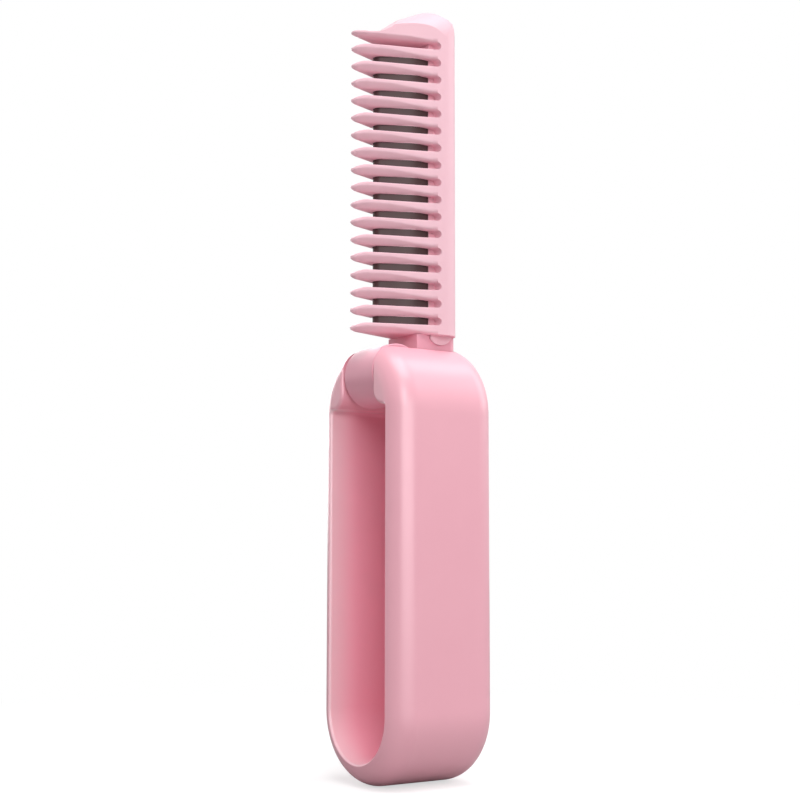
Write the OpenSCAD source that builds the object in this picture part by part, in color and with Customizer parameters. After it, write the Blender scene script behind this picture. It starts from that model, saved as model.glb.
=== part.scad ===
// Folding cordless hair straightener: a comb head with a heating plate behind its fins turns on a
// hinge at the top of a pill-shaped handle and folds down into the groove in the handle's front.
// +Z runs up the handle, the groove faces -Y, and Y = 0 lies halfway between tooth tips and back face.

/* [Handle] */
// Height of the handle
handle_h = 148; // [140:1:180]
// Width of the handle across its two wide faces
handle_w = 48; // [46:1:60]
// Depth of the handle from front face to back face
handle_d = 42; // [40:1:56]
// Radius of the handle's long edges
handle_edge_r = 8.4; // [6:0.2:10]
// Wall between the groove and each wide face
groove_wall = 7.5; // [7:0.1:9]
// Depth of the groove behind the front face
groove_depth = 27.2; // [26:0.2:29]
// Plastic thickness of the groove's floor
floor_t = 2; // [1.6:0.1:2.6]
// Thickness of the back cover
cover_t = 2.2; // [1.8:0.1:2.8]
// Width of the back cover
cover_w = 40; // [38:1:42]
// Height of the back cover's upper end
cover_top = 132; // [126:1:134]
// Width of the ledge that the back cover sits on
cover_ledge = 1.6; // [1.2:0.1:2]
// Distance of the upper cover screws from the cavity's side
screw_in = 3.8; // [3.4:0.1:4.2]

/* [Hinge] */
// Radius of the hinge barrel on the comb
barrel_r = 10.5; // [9:0.1:11]
// Length of the hinge barrel
barrel_len = 17.2; // [15:0.2:17.8]
// Depth of the barrel behind the handle's front face
barrel_set = 0.5; // [0.3:0.1:1]
// Depth of the hinge axis below the top of the handle
hinge_drop = 11.2; // [11:0.1:13]
// Distance between the two thick cheeks that hold the hinge
boss_gap = 19; // [18.4:0.2:20]
// Distance of the cheeks' rounded lower ends below the hinge axis
cheek_low = 11.1; // [10.6:0.1:11.6]
// Radius of the hollow where a cheek runs out into the groove's wall
cheek_blend = 1.5; // [1:0.1:2]
// Radius of the rounded edge round the groove's mouth
rim_r = 1.2; // [0.8:0.1:1.4]
// Radius of the hinge pin
pin_r = 2; // [1.5:0.1:2.5]
// Length of the hinge pin
pin_len = 35; // [32:1:36]
// Outer radius of a hinge washer
washer_r = 6; // [4:0.5:8]
// Thickness of a hinge washer
washer_t = 0.5; // [0.3:0.1:0.6]
// Depth of the neck from front to back
neck_d = 17; // [12:0.5:17]

/* [Comb] */
// Width of the comb head across its flat sides
comb_w = 24; // [22:0.5:26]
// Distance from the hinge axis to the comb's lower end
comb_rise = 14.5; // [14.5:0.1:16]
// Distance that the tooth tips stand in front of the handle
tooth_over = 2.4; // [0:0.1:3]
// Depth of the comb from its widest line to its back
comb_back = 6.5; // [6.4:0.1:8]
// Depth of the comb from its widest line to the tooth tips
comb_front = 31.7; // [29:0.1:32]
// Radius of the comb's two back edges
comb_edge_r = 6.2; // [5:0.1:6.4]
// Radius of a tooth tip seen from above
tip_r = 2.2; // [1.5:0.1:3]
// Number of gaps between the fins
gaps = 17; // [12:1:17]
// Distance from one fin to the next
fin_pitch = 6.08; // [5.8:0.02:6.2]
// Height of a gap at its rear end
gap_h = 2.7; // [2.4:0.1:3.2]
// Height of the lowest gap's middle above the comb's lower end
first_gap = 4.5; // [4.4:0.1:6]
// Distance that a fin's underside rises towards its tip
fin_taper = 1.1; // [0.6:0.1:1.6]
// Length of the tooth nose that curves down to the tip
nose_len = 4.6; // [3:0.2:6]
// Height of the cap's crest above the middle of the uppermost gap
cap_h = 14.9; // [14.5:0.1:15]
// Radius of the cap's round back seen from the side
cap_back_r = 15.8; // [14:0.1:16]
// Distance from the tooth tips to the foot of the cap's ramp
ramp_set = 9.8; // [9:0.2:11]
// Slope of the cap's ramp, in degrees
ramp_slope = 40; // [38:1:43]
// Radius of the hollow at the foot of the ramp
ramp_foot_r = 9; // [3:1:10]
// Radius of the round at the top of the ramp
ramp_top_r = 8; // [3:1:9]
// Radius of the cap's round shoulders seen from the front
crown_r = 11.5; // [9:0.1:11.8]
// Tilt of the crown, which falls towards the tooth tips, in degrees
crown_tilt = 25; // [22:1:28]
// Radius of the rounded lower edge of a fin
fin_edge_r = 1.2; // [0.8:0.1:1.3]

/* [Heater] */
// Plastic of a fin beside the heating plate's widest part
plate_side = 1.95; // [1.7:0.05:2.6]
// Depth of the heating plate from nose to back
plate_d = 17.5; // [15:0.5:18]
// Depth of the plate's nose behind the tooth tips
plate_set = 9.2; // [8:0.2:11]
// Thickness of the ceramic heater
heater_t = 3; // [2:0.2:4]
// Depth of the ceramic heater
heater_d = 10; // [8:0.5:11]
// Depth of the carrier behind the heating plate
carrier_d = 4; // [3:0.2:4.4]
// Thickness of the insulating sheet
sheet_t = 0.5; // [0.3:0.1:0.8]
// Thickness of the spine cover
spine_t = 2; // [1.6:0.1:2.2]

/* [Battery and boards] */
// Room between the battery cell and the cavity's side walls
cell_side = 1.4; // [1:0.1:3]
// Thickness of the battery cell
cell_t = 8.2; // [6:0.2:8.6]
// Length of the battery cell
cell_len = 72; // [50:1:74]
// Height of the battery cell's lower end
cell_z = 26; // [25:1:28]
// Thickness of a foam pad
pad_t = 0.5; // [0.3:0.1:0.8]
// Thickness of a circuit board
board_t = 1.2; // [0.8:0.1:1.6]
// Length of the posts that carry the boards
post_len = 3.8; // [3:0.2:4]
// Radius of the power button
button_r = 5.4; // [4:0.1:6]
// Travel of the power button
button_travel = 0.6; // [0.3:0.1:0.8]
// Height of the power button
button_z = 116; // [112:1:118]
// Height of the row of indicator lights
light_z = 107; // [106:0.5:108]
// Width of the charging socket
socket_w = 8.9; // [8.9:0.1:9.2]
// Height of the charging socket
socket_h = 3.2; // [3.2:0.1:3.4]
// Length of the charging socket
socket_len = 7.3; // [6:0.1:8]

/* [Fits] */
// Radial running clearance of the hinge pin
pin_gap = 0.05; // [0.02:0.01:0.08]
// Clearance of a piece in its seat
seat_gap = 0.1; // [0.05:0.01:0.2]
// Clearance between pieces that move past each other
move_gap = 0.3; // [0.3:0.05:0.5]

/* [Hidden] */
$fn = 96;
e = 0.01;
back_y = (handle_d + tooth_over) / 2;
front_y = back_y - handle_d;
tip_y = front_y - tooth_over;
end_r = handle_w / 2;
groove_r = end_r - groove_wall;
floor_y = front_y + groove_depth;
cavity_y = floor_y + floor_t;
cover_y = back_y - cover_t;
cover_r = cover_w / 2;
cavity_r = cover_r - cover_ledge;
cavity_top = cover_top - cover_ledge;
hinge_y = front_y + barrel_set + barrel_r;
hinge_z = handle_h - hinge_drop;
half_gap = boss_gap / 2;
half_barrel = barrel_len / 2;
cheek_z = hinge_z - cheek_low;
cheek_r = groove_r - half_gap - cheek_blend;
comb_z = hinge_z + comb_rise;
wide_y = tip_y + comb_front;
spine_y = wide_y + comb_back;
half_comb = comb_w / 2;
comb_tilt = asin((half_comb - tip_r) / (comb_front - tip_r));
function comb_half(y) = tip_r / cos(comb_tilt) + (y - tip_y - tip_r) * tan(comb_tilt);
gap0_z = comb_z + first_gap;
top_gap_z = gap0_z + (gaps - 1) * fin_pitch;
fin_top_z = top_gap_z + gap_h / 2;
comb_top = top_gap_z + cap_h;
gap_end_y = wide_y - 3.6;
neck_y1 = spine_y + 0.1;
neck_y0 = neck_y1 - neck_d;
deck_y = neck_y1 + move_gap;
deck_z = hinge_z - 0.2;
plate_y0 = tip_y + plate_set;
plate_y1 = plate_y0 + plate_d;
plate_wide_y = plate_y1 - 4;
plate_w = 2 * (comb_half(plate_wide_y) - plate_side);
plate_z0 = comb_z + 1.8;
plate_z1 = top_gap_z - gap_h / 2 - 1.2;
heater_y0 = plate_y1 - 1 - heater_d;
carrier_hw = plate_w / 2 - 0.6;
arm_screw_x = carrier_hw - 2.4;
sensor_x = carrier_hw - 2.8;
carrier_y1 = plate_y1 + carrier_d;
sheet_y1 = carrier_y1 + sheet_t;
spine_in_y = spine_y - spine_t;
tongue_top = comb_z + 16;
carrier_z0 = tongue_top + 3.2;
tongue_y0 = sheet_y1 + 0.1;
tongue_y1 = spine_in_y - 0.15;
board_y = cavity_y + post_len;
socket_y = cavity_y + 0.8 + socket_h / 2;
charge_y = socket_y + socket_h / 2 + 0.05;
switch_top = board_y + board_t + 3.9;
flange_t = 1;
cell_w = 2 * (cavity_r - cell_side);
upper_screw = [cavity_r - screw_in, 107.5];
lower_r = cavity_r - screw_in - 1.6;
lower_screw = [lower_r * 12 / 13, end_r - lower_r * 5 / 13];
board_hw = upper_screw[0] - 2.6;
charge_hw = lower_screw[0] - 4;
light_x = [-5, 0, 5];
board_holes = [[2.8 - board_hw, 110.6], [board_hw - 2.8, 110.6], [7, 124.6]];
feed_y = board_y - 1.85;
charge_holes = [[2.4 - charge_hw, 18.4], [charge_hw - 2.4, 18.4]];

// Rounded outlines and lathe profiles

module rounded_rect(w, d, r) {
    translate([-w / 2, r]) square([w, d - 2 * r]);
    translate([-w / 2 + r, 0]) square([w - 2 * r, d]);
    for (x = [-w / 2 + r, w / 2 - r], y = [r, d - r]) translate([x, y]) circle(r);
}

// Stadium standing on its lower end: a strip of width 2r from z0 to z1, as a prism along Y
module upright_slot(r, z0, z1, y0, y1) {
    for (z = [z0 + r, z1 - r]) along_y(r, y0, y1, 0, z);
    translate([-r, y0, z0 + r]) cube([2 * r, y1 - y0, z1 - z0 - 2 * r]);
}

module along_y(r, y0, y1, x, z) {
    translate([x, y0, z]) rotate([-90, 0, 0]) cylinder(r = r, h = y1 - y0);
}

module along_x(r, x0, x1, y, z) {
    translate([x0, y, z]) rotate([0, 90, 0]) cylinder(r = r, h = x1 - x0);
}

module disc_profile(r, d, edge) {
    square([r - edge, d]);
    translate([0, edge]) square([r, d - 2 * edge]);
    for (y = [edge, d - edge]) translate([r - edge, y]) circle(edge);
}

// The handle's outer form: a pill of width w with rounded edges, from y0 to y0 + d
module handle_form() {
    for (z = [end_r, handle_h - end_r])
        translate([0, front_y, z]) rotate([-90, 0, 0]) rotate_extrude()
            disc_profile(end_r, handle_d, handle_edge_r);
    translate([0, front_y, end_r]) linear_extrude(handle_h - 2 * end_r)
        rounded_rect(handle_w, handle_d, handle_edge_r);
}

// Handle

module groove_cut() {
    difference() {
        union() {
            along_y(groove_r, front_y - 1, floor_y, 0, end_r);
            translate([-groove_r, front_y - 1, end_r])
                cube([2 * groove_r, floor_y - front_y + 1, handle_h]);
        }
        for (side = [0, 1]) mirror([side, 0, 0]) front_prism(front_y - 2, floor_y + 1) cheek_outline();
    }
}

// Carries a shape drawn in X and Z from y0 to y1
module front_prism(y0, y1) {
    translate([0, y1, 0]) rotate([90, 0, 0]) linear_extrude(y1 - y0) children();
}

// The right cheek seen from the front: thick at the hinge, rounded at its lower end, and let into
// the groove's wall by a small hollow
module cheek_outline() {
    w = groove_r + 1 - half_gap;
    translate([half_gap, cheek_z + cheek_r]) square([w, handle_h]);
    translate([half_gap + cheek_r, cheek_z]) square([w - cheek_r, cheek_r + e]);
    translate([half_gap + cheek_r, cheek_z + cheek_r]) circle(cheek_r);
    difference() {
        translate([groove_r - cheek_blend, cheek_z - cheek_blend])
            square([cheek_blend + 1, cheek_blend + e]);
        translate([groove_r - cheek_blend, cheek_z - cheek_blend]) circle(cheek_blend);
    }
}

// What a rounded edge takes off a square corner: origin at the corner, material at +X and +Y
module edge_profile(r) {
    difference() {
        translate([-1, -1]) square([r + 1, r + 1]);
        translate([r, r]) circle(r);
    }
}

// A part ring of the edge profile about an axis along Y: outside (turn 1) or inside (-1) radius r
module edge_ring(r, turn, from, angle) {
    rotate([-90, 0, 0]) rotate([0, 0, from]) rotate_extrude(angle = angle) intersection() {
        translate([r, 0]) scale([turn, 1]) edge_profile(rim_r);
        translate([0, -2]) square([r + rim_r + 2, rim_r + 4]);
    }
}

module mouth_edge() {
    for (side = [0, 1]) mirror([side, 0, 0]) {
        translate([groove_r, front_y, end_r]) linear_extrude(cheek_z - cheek_blend - end_r)
            edge_profile(rim_r);
        translate([half_gap, front_y, cheek_z + cheek_r]) linear_extrude(handle_h) edge_profile(rim_r);
        translate([half_gap + cheek_r, front_y, cheek_z + cheek_r]) edge_ring(cheek_r, -1, 90, 90);
        translate([groove_r - cheek_blend, front_y, cheek_z - cheek_blend])
            edge_ring(cheek_blend, 1, 270, 90);
    }
    translate([0, front_y, end_r]) edge_ring(groove_r, 1, 0, 180);
}

module neck_cut() {
    translate([-half_gap, floor_y - 1, deck_z]) cube([boss_gap, deck_y - floor_y + 1, handle_h]);
}

module cover_seat(grow) {
    upright_slot(cover_r + grow, end_r - cover_r - grow, cover_top + grow, cover_y, back_y + 1);
}

module cavity_cut() {
    upright_slot(cavity_r, end_r - cavity_r, cavity_top, cavity_y, cover_y + 1);
    translate([-socket_w / 2 - 3.6, cavity_y, 3]) cube([socket_w + 7.2, 6.4, end_r - 13]);
}

module socket_hole(w, h, z0, z1) {
    for (x = [-(w - h) / 2, (w - h) / 2])
        translate([x, socket_y, z0]) cylinder(d = h, h = z1 - z0);
    translate([-(w - h) / 2, socket_y - h / 2, z0]) cube([w - h, h, z1 - z0]);
}

module cover_screw_places() {
    for (side = [-1, 1], p = [upper_screw, lower_screw]) translate([side * p[0], 0, p[1]]) children();
}

module post(x, z, y1) {
    difference() {
        along_y(2, cavity_y - 1, y1, x, z);
        along_y(0.8, cavity_y + 0.6, y1 + 1, x, z);
    }
}

module handle_shell() {
    color("lightpink") difference() {
        union() {
            difference() {
                handle_form();
                groove_cut();
                mouth_edge();
                neck_cut();
                cover_seat(seat_gap);
                cavity_cut();
            }
            for (p = board_holes) post(p[0], p[1], board_y);
            for (p = charge_holes) post(p[0], p[1], charge_y);
            cover_screw_places() along_y(2.6, cavity_y - 1, cavity_y + 2, 0, 0);
        }
        cover_screw_places() {
            along_y(1.9, floor_y - 1, floor_y + 1.3, 0, 0);
            along_y(1.15, floor_y, cavity_y + 3, 0, 0);
        }
        along_x(pin_r + pin_gap, -end_r, pin_len / 2 + seat_gap, hinge_y, hinge_z);
        along_x(pin_r + 0.9, -end_r, -pin_len / 2 - seat_gap, hinge_y, hinge_z);
        socket_hole(socket_w + 0.2, socket_h + 0.2, -1, 4);
        socket_hole(socket_w + 1.6, socket_h + 1.6, -1, 0.8);
        translate([0, feed_y, cavity_top - 3]) cylinder(r = 1.8, h = deck_z - cavity_top + 4);
    }
}

module back_cover() {
    color("lightpink") difference() {
        union() {
            intersection() {
                handle_form();
                upright_slot(cover_r, end_r - cover_r, cover_top, cover_y, back_y + 1);
            }
            difference() {
                upright_slot(cavity_r - seat_gap, end_r - cavity_r + seat_gap, cavity_top - seat_gap,
                    cover_y - 1.2, cover_y + e);
                upright_slot(cavity_r - 1.3, end_r - cavity_r + 1.3, cavity_top - 1.3,
                    cover_y - 2, cover_y + 1);
            }
            cover_screw_places() along_y(2.4, cavity_y + 2 + seat_gap, cover_y + e, 0, 0);
        }
        cover_screw_places() along_y(1, cavity_y, cover_y - 1, 0, 0);
        along_y(button_r + 0.2, cover_y - 2, back_y + 1, 0, button_z);
        for (x = light_x) along_y(1.1, cover_y - 2, back_y + 1, x, light_z);
    }
}

module cover_screws() {
    color("silver") cover_screw_places() difference() {
        union() {
            along_y(1.75, floor_y + 0.2, floor_y + 1.25, 0, 0);
            along_y(0.95, floor_y + 1, cover_y - 2.5, 0, 0);
        }
        along_y(0.8, floor_y, floor_y + 0.7, 0, 0);
    }
}

// Battery and boards

module battery_cell() {
    y0 = cavity_y + pad_t;
    color("gainsboro") union() {
        translate([0, y0, cell_z]) linear_extrude(cell_len) rounded_rect(cell_w, cell_t, 2);
        translate([-10, y0 + cell_t / 2 - 1, cell_z + cell_len - e]) cube([20, 2, 1.2]);
    }
}

module battery_pads() {
    color("dimgray") for (z = [cell_z + 8, cell_z + cell_len - 20])
        translate([-13, cavity_y, z]) cube([26, pad_t, 12]);
}

module protection_board() {
    z0 = cell_z + cell_len + 1.6;
    y0 = cavity_y + pad_t + cell_t / 2 - board_t / 2;
    color("seagreen") union() {
        translate([-11, y0, z0]) cube([22, board_t, 3.6]);
        for (x = [-7, 1]) translate([x, y0 + board_t - e, z0 + 0.8]) cube([5, 1, 2]);
        for (x = [-9.4, 7.4]) translate([x, y0 + 0.1, z0 - 0.3]) cube([2, board_t - 0.2, 0.4]);
    }
}

module battery_leads() {
    z0 = cell_z + cell_len + 2.6;
    color("firebrick") for (x = [-4.2, -2.4], z = [z0, z0 + 8]) {
        translate([x, board_y - 0.6, z0]) cylinder(r = 0.5, h = 8);
        translate([x, board_y - 0.6, z]) sphere(r = 0.5);
    }
}

module board_outline() {
    intersection() {
        along_y(cavity_r - 1.6, board_y, board_y + board_t, 0, cavity_top - cavity_r);
        translate([-board_hw, board_y - 1, 104.4]) cube([2 * board_hw, board_t + 2, 30]);
    }
}

module control_board() {
    face = board_y + board_t;
    color("seagreen") union() {
        difference() {
            board_outline();
            for (p = board_holes) along_y(0.95, board_y - 1, face + 1, p[0], p[1]);
        }
        translate([-8.6, face - e, 118]) cube([5, 1, 4]);
        translate([4.4, face - e, 113]) cube([4, 1.6, 3]);
        translate([4.6, face - e, 118.6]) cube([3.4, 1.4, 3.4]);
        translate([-2.2, board_y - 3, 120]) cube([4.4, 3 + e, 4]);
    }
}

module small_screw(x, z, y) {
    difference() {
        union() {
            along_y(1.4, y, y + 0.9, x, z);
            along_y(0.75, y - 3.6, y + 0.1, x, z);
        }
        along_y(0.6, y + 0.5, y + 1, x, z);
    }
}

module board_screws() {
    color("silver") {
        for (p = board_holes) small_screw(p[0], p[1], board_y + board_t);
        for (p = charge_holes) small_screw(p[0], p[1], charge_y + board_t);
    }
}

module tact_switch() {
    face = board_y + board_t;
    color("dimgray") union() {
        translate([-3, face, button_z - 3]) cube([6, 3.2, 6]);
        along_y(1.7, face + 3, switch_top, 0, button_z);
    }
}

module indicator_leds() {
    color("white") for (x = light_x) translate([x - 0.8, board_y + board_t, light_z - 0.5])
        cube([1.6, 0.7, 1]);
}

module light_pipes() {
    color("white") for (x = light_x) {
        along_y(1, board_y + board_t + 1, back_y - 0.05, x, light_z);
        along_y(1.5, cover_y - 0.8, cover_y - 0.05, x, light_z);
    }
}

module charging_board() {
    color("seagreen") union() {
        difference() {
            translate([-charge_hw, charge_y, 3.6]) cube([2 * charge_hw, board_t, 17.6]);
            for (p = charge_holes) along_y(0.95, charge_y - 1, charge_y + 3, p[0], p[1]);
        }
        translate([-3, charge_y + board_t - e, 8]) cube([6, 1, 5]);
    }
}

module charging_socket() {
    z0 = 0.9;
    color("silver") difference() {
        socket_hole(socket_w, socket_h, z0, z0 + socket_len);
        difference() {
            socket_hole(socket_w - 0.6, socket_h - 0.6, z0 - 1, z0 + socket_len - 0.8);
            translate([-3.3, socket_y - 0.35, z0 + 0.6]) cube([6.6, 0.7, socket_len]);
        }
    }
}

module power_button() {
    flange_y1 = cover_y - seat_gap;
    color("lightpink") union() {
        along_y(button_r, flange_y1 - e, back_y - 0.3, 0, button_z);
        rotate_button_edge();
        along_y(button_r + 1.2, flange_y1 - flange_t, flange_y1, 0, button_z);
        along_y(1.5, switch_top + button_travel + 0.05, flange_y1, 0, button_z);
    }
}

// The button's face has a rounded rim
module rotate_button_edge() {
    translate([0, back_y - 0.3 - e, button_z]) rotate([-90, 0, 0])
        rotate_extrude() intersection() {
            square([button_r, 0.3 + e]);
            union() {
                square([button_r - 0.3, 0.3 + e]);
                translate([button_r - 0.3, e]) circle(0.3, $fn = 32);
            }
        }
}

// Hinge

module hinge_pin() {
    color("silver") along_x(pin_r, -pin_len / 2, pin_len / 2, hinge_y, hinge_z);
}

module hinge_pin_plug() {
    color("lightpink") intersection() {
        handle_form();
        along_x(pin_r + 0.85, -end_r, -pin_len / 2 - seat_gap - 0.05, hinge_y, hinge_z);
    }
}

module hinge_washers() {
    color("white") for (side = [-1, 1]) difference() {
        along_x(washer_r, side * (half_gap - washer_t / 2 - 0.05) - washer_t / 2,
            side * (half_gap - washer_t / 2 - 0.05) + washer_t / 2, hinge_y, hinge_z);
        along_x(pin_r + pin_gap, -half_gap - 1, half_gap + 1, hinge_y, hinge_z);
    }
}

module feed_leads() {
    color("firebrick") for (x = [-0.8, 0.8]) translate([x, feed_y, 124.1])
        cylinder(r = 0.6, h = deck_z - 124.5);
}

module arm_body() {
    translate([-half_barrel, hinge_y, hinge_z]) rotate([0, 90, 0]) rotate_extrude()
        disc_profile(barrel_r, barrel_len, 0.5);
    translate([0, neck_y0, deck_z + move_gap])
        linear_extrude(comb_z - deck_z - move_gap) neck_plan();
    translate([-carrier_hw + 0.15, tongue_y0, comb_z - 1])
        cube([2 * carrier_hw - 0.3, tongue_y1 - tongue_y0, tongue_top - comb_z + 1]);
}

module neck_plan() {
    r = 3;
    translate([-half_barrel, 0]) square([barrel_len, neck_d - r]);
    translate([-half_barrel + r, 0]) square([barrel_len - 2 * r, neck_d]);
    for (x = [-half_barrel + r, half_barrel - r]) translate([x, neck_d - r]) circle(r);
}

module arm_screw_places() {
    for (x = [-arm_screw_x, arm_screw_x]) translate([x, 0, comb_z + 10]) children();
}

module hinge_arm() {
    lead_y = tongue_y1 - 1.4;
    color("pink") difference() {
        arm_body();
        along_x(pin_r + pin_gap, -end_r, end_r, hinge_y, hinge_z);
        translate([-1.6, lead_y - 0.8, comb_z - 6]) cube([3.2, tongue_y1 - lead_y + 0.9, 40]);
        translate([0, lead_y + 0.8, deck_z]) cylinder(r = 1.6, h = comb_z - deck_z - 2);
        arm_screw_places() {
            along_y(1.65, tongue_y1 - 1.3, tongue_y1 + 1, 0, 0);
            along_y(1.1, tongue_y0 - 1, tongue_y1, 0, 0);
        }
    }
}

module arm_screws() {
    color("silver") arm_screw_places() difference() {
        union() {
            along_y(1.5, tongue_y1 - 1.25, tongue_y1 - 0.2, 0, 0);
            along_y(0.95, tongue_y0 - 3.2, tongue_y1 - 1.2, 0, 0);
        }
        along_y(0.8, tongue_y1 - 0.7, tongue_y1, 0, 0);
    }
}

// Comb head

// Outline from above: a drop shape, a large round of radius a and a small one of radius r at the
// nose joined by their two outer tangents, then parallel sides that run back to y_end
module drop_plan(a, y_wide, y_nose, r, y_end) {
    y_tip = y_nose + r;
    tilt = asin((a - r) / (y_wide - y_tip));
    polygon([
        [-r * cos(tilt), y_tip - r * sin(tilt)], [r * cos(tilt), y_tip - r * sin(tilt)],
        [a * cos(tilt), y_wide - a * sin(tilt)], [-a * cos(tilt), y_wide - a * sin(tilt)]]);
    translate([0, y_tip]) circle(r);
    intersection() {
        translate([0, y_wide]) circle(a);
        translate([-a, y_wide - a]) square([2 * a, a]);
    }
    translate([-a, y_wide - e]) square([2 * a, y_end - y_wide + e]);
}

module comb_plan() {
    drop_plan(half_comb, wide_y, tip_y, tip_r, spine_y - comb_edge_r);
    translate([-half_comb + comb_edge_r, spine_y - comb_edge_r - e])
        square([comb_w - 2 * comb_edge_r, comb_edge_r + e]);
    for (x = [-half_comb + comb_edge_r, half_comb - comb_edge_r])
        translate([x, spine_y - comb_edge_r]) circle(comb_edge_r);
}

// Lines of the cap seen from the side (Y and Z): a flat top over the uppermost fin, a hollow foot, a
// straight ramp, a round crest, and one large round down to the back
flat_z = fin_top_z + 1.9;
foot = [tip_y + ramp_set, flat_z];
ramp_dir = [cos(ramp_slope), sin(ramp_slope)];
ramp_out = [-sin(ramp_slope), cos(ramp_slope)];
back_mid = [spine_y - cap_back_r, comb_top - cap_back_r];
crest_from = foot - ramp_top_r * ramp_out - back_mid;
crest_run = -crest_from * ramp_dir
    + sqrt(pow(crest_from * ramp_dir, 2) - crest_from * crest_from + pow(cap_back_r - ramp_top_r, 2));
crest_mid = foot - ramp_top_r * ramp_out + crest_run * ramp_dir;
crest_in = crest_mid + ramp_top_r * ramp_out;
crest_end = crest_mid + ramp_top_r * (crest_mid - back_mid) / norm(crest_mid - back_mid);
hollow_y = foot[0] - ramp_foot_r * tan(ramp_slope / 2);
hollow_end = [hollow_y + ramp_foot_r * sin(ramp_slope), flat_z + ramp_foot_r * (1 - cos(ramp_slope))];

module comb_side() {
    difference() {
        intersection() {
            union() {
                translate([tip_y - 1, comb_z]) square([spine_y - tip_y + 1, back_mid[1] - comb_z]);
                translate([tip_y - 1, comb_z]) square([back_mid[0] - tip_y + 1, comb_top - comb_z]);
                translate(back_mid) circle(cap_back_r);
            }
            polygon([[tip_y - 0.5, comb_z], [tip_y - 0.5, flat_z], [hollow_y, flat_z], hollow_end,
                hollow_end + 60 * ramp_dir, [spine_y + 40, comb_z]]);
        }
        translate([hollow_y, flat_z + ramp_foot_r]) circle(ramp_foot_r);
        difference() {
            polygon([crest_mid, crest_in, crest_in + 4 * ramp_out,
                crest_end + (crest_end - crest_mid), crest_end]);
            translate(crest_mid) circle(ramp_top_r);
        }
    }
}

// The crown of the cap: a round that falls towards the tooth tips, so that it clears the lower end
// of the groove when the comb is folded
module cap_crown() {
    x = half_comb - crown_r;
    translate([0, back_mid[0], comb_top - 2.7]) rotate([90 + crown_tilt, 0, 0])
        translate([0, 0, -40]) linear_extrude(200) {
            translate([-half_comb, -160]) square([comb_w, 160 - crown_r]);
            translate([-x, -160]) square([2 * x, 160]);
            for (side = [-x, x]) translate([side, -crown_r]) circle(crown_r);
        }
}

module comb_form() {
    intersection() {
        translate([0, 0, comb_z]) linear_extrude(comb_top - comb_z + 1) comb_plan();
        translate([-half_comb - 1, 0, 0]) rotate([90, 0, 90]) linear_extrude(comb_w + 2) comb_side();
        cap_crown();
    }
}

// A gap between fins seen from the side. Its roof, the upper fin's underside, rises towards the
// tips, and its floor curves down over the lower fin's nose, so that each fin ends in a point.
nose_y = tip_y + nose_len;
function roof(y) = gap_h / 2 + fin_taper * (gap_end_y - y) / (gap_end_y - tip_y);
function nose_drop(t) = (fin_pitch - gap_h - fin_taper) * (1 - sqrt(1 - t * t));

module gap_side() {
    h = gap_h / 2;
    polygon(concat(
        [[gap_end_y, -h], [gap_end_y, h]],
        [[tip_y, roof(tip_y)], [tip_y - 2, roof(tip_y)], [tip_y - 2, roof(tip_y) - fin_pitch]],
        [for (i = [8 : -1 : 0]) let (t = sin(i * 11.25)) [nose_y - nose_len * t, -h - nose_drop(t)]]));
    translate([gap_end_y, 0]) circle(h, $fn = 48);
}

module fin_gaps() {
    for (i = [-1 : gaps - 1]) translate([-half_comb - 1, 0, gap0_z + i * fin_pitch])
        rotate([90, 0, 90]) linear_extrude(comb_w + 2) gap_side();
}

// Takes the two long lower edges off each fin: a cutter with a stepped round for its edge runs along
// a side's slope in plan, under the fin's rising underside
module fin_edges() {
    rise = atan(fin_taper * cos(comb_tilt) / (gap_end_y - tip_y));
    run = (gap_end_y - tip_y) / cos(comb_tilt) - 1.5;
    r = fin_edge_r;
    for (side = [0, 1]) mirror([side, 0, 0]) for (i = [-1 : gaps - 1])
        translate([comb_half(gap_end_y), gap_end_y, gap0_z + i * fin_pitch + gap_h / 2])
            rotate([0, 0, -comb_tilt]) rotate([-rise, 0, 0]) rotate([90, 0, 0]) linear_extrude(run)
                polygon(concat([[1, r], [1, -1], [-r, -1]],
                    [for (t = [0 : 30 : 90]) [-r + r * sin(t), r - r * cos(t)]]));
}

module plate_form(grow) {
    translate([0, 0, plate_z0 - grow]) linear_extrude(plate_z1 - plate_z0 + 2 * grow)
        drop_plan(plate_w / 2 + grow, plate_wide_y, plate_y0 - grow, 2.4 + grow, plate_y1 + grow);
}

module side_lobes() {
    for (side = [-1, 1]) intersection() {
        along_x(5.6, side > 0 ? half_barrel + 0.05 : -half_barrel - 0.65,
            side > 0 ? half_barrel + 0.65 : -half_barrel - 0.05, wide_y - 1, comb_z + 2.3);
        translate([-half_comb, -50, comb_z - 10]) cube([comb_w, 100, 10 + e]);
    }
}

module carrier_pocket() {
    translate([-carrier_hw, plate_y1 - e, carrier_z0]) cube([2 * carrier_hw, 30, plate_z1 - carrier_z0]);
    translate([-carrier_hw, tongue_y0 - 0.1, comb_z - 1])
        cube([2 * carrier_hw, spine_in_y - tongue_y0 + 0.1, tongue_top - comb_z + 1.3]);
    translate([-1.6, tongue_y1 - 2.2, comb_z])
        cube([3.2, spine_in_y - tongue_y1 + 2.2, carrier_z0 - comb_z + 1]);
}

module spine_slot(grow) {
    upright_slot(half_comb - 3.5 + grow, comb_z + 4 - grow, plate_z1 + 4 + grow, spine_in_y, spine_y + 1);
}

module comb_shell() {
    color("lightpink") difference() {
        union() {
            difference() {
                comb_form();
                difference() {
                    fin_gaps();
                    translate([-carrier_hw - 0.7, plate_y1, comb_z]) cube([2 * carrier_hw + 1.4, 40, 200]);
                }
                fin_edges();
            }
            side_lobes();
        }
        plate_form(seat_gap);
        carrier_pocket();
        spine_slot(seat_gap);
        arm_screw_places() along_y(1, tongue_y0 - 3.6, tongue_y1, 0, 0);
    }
}

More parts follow.
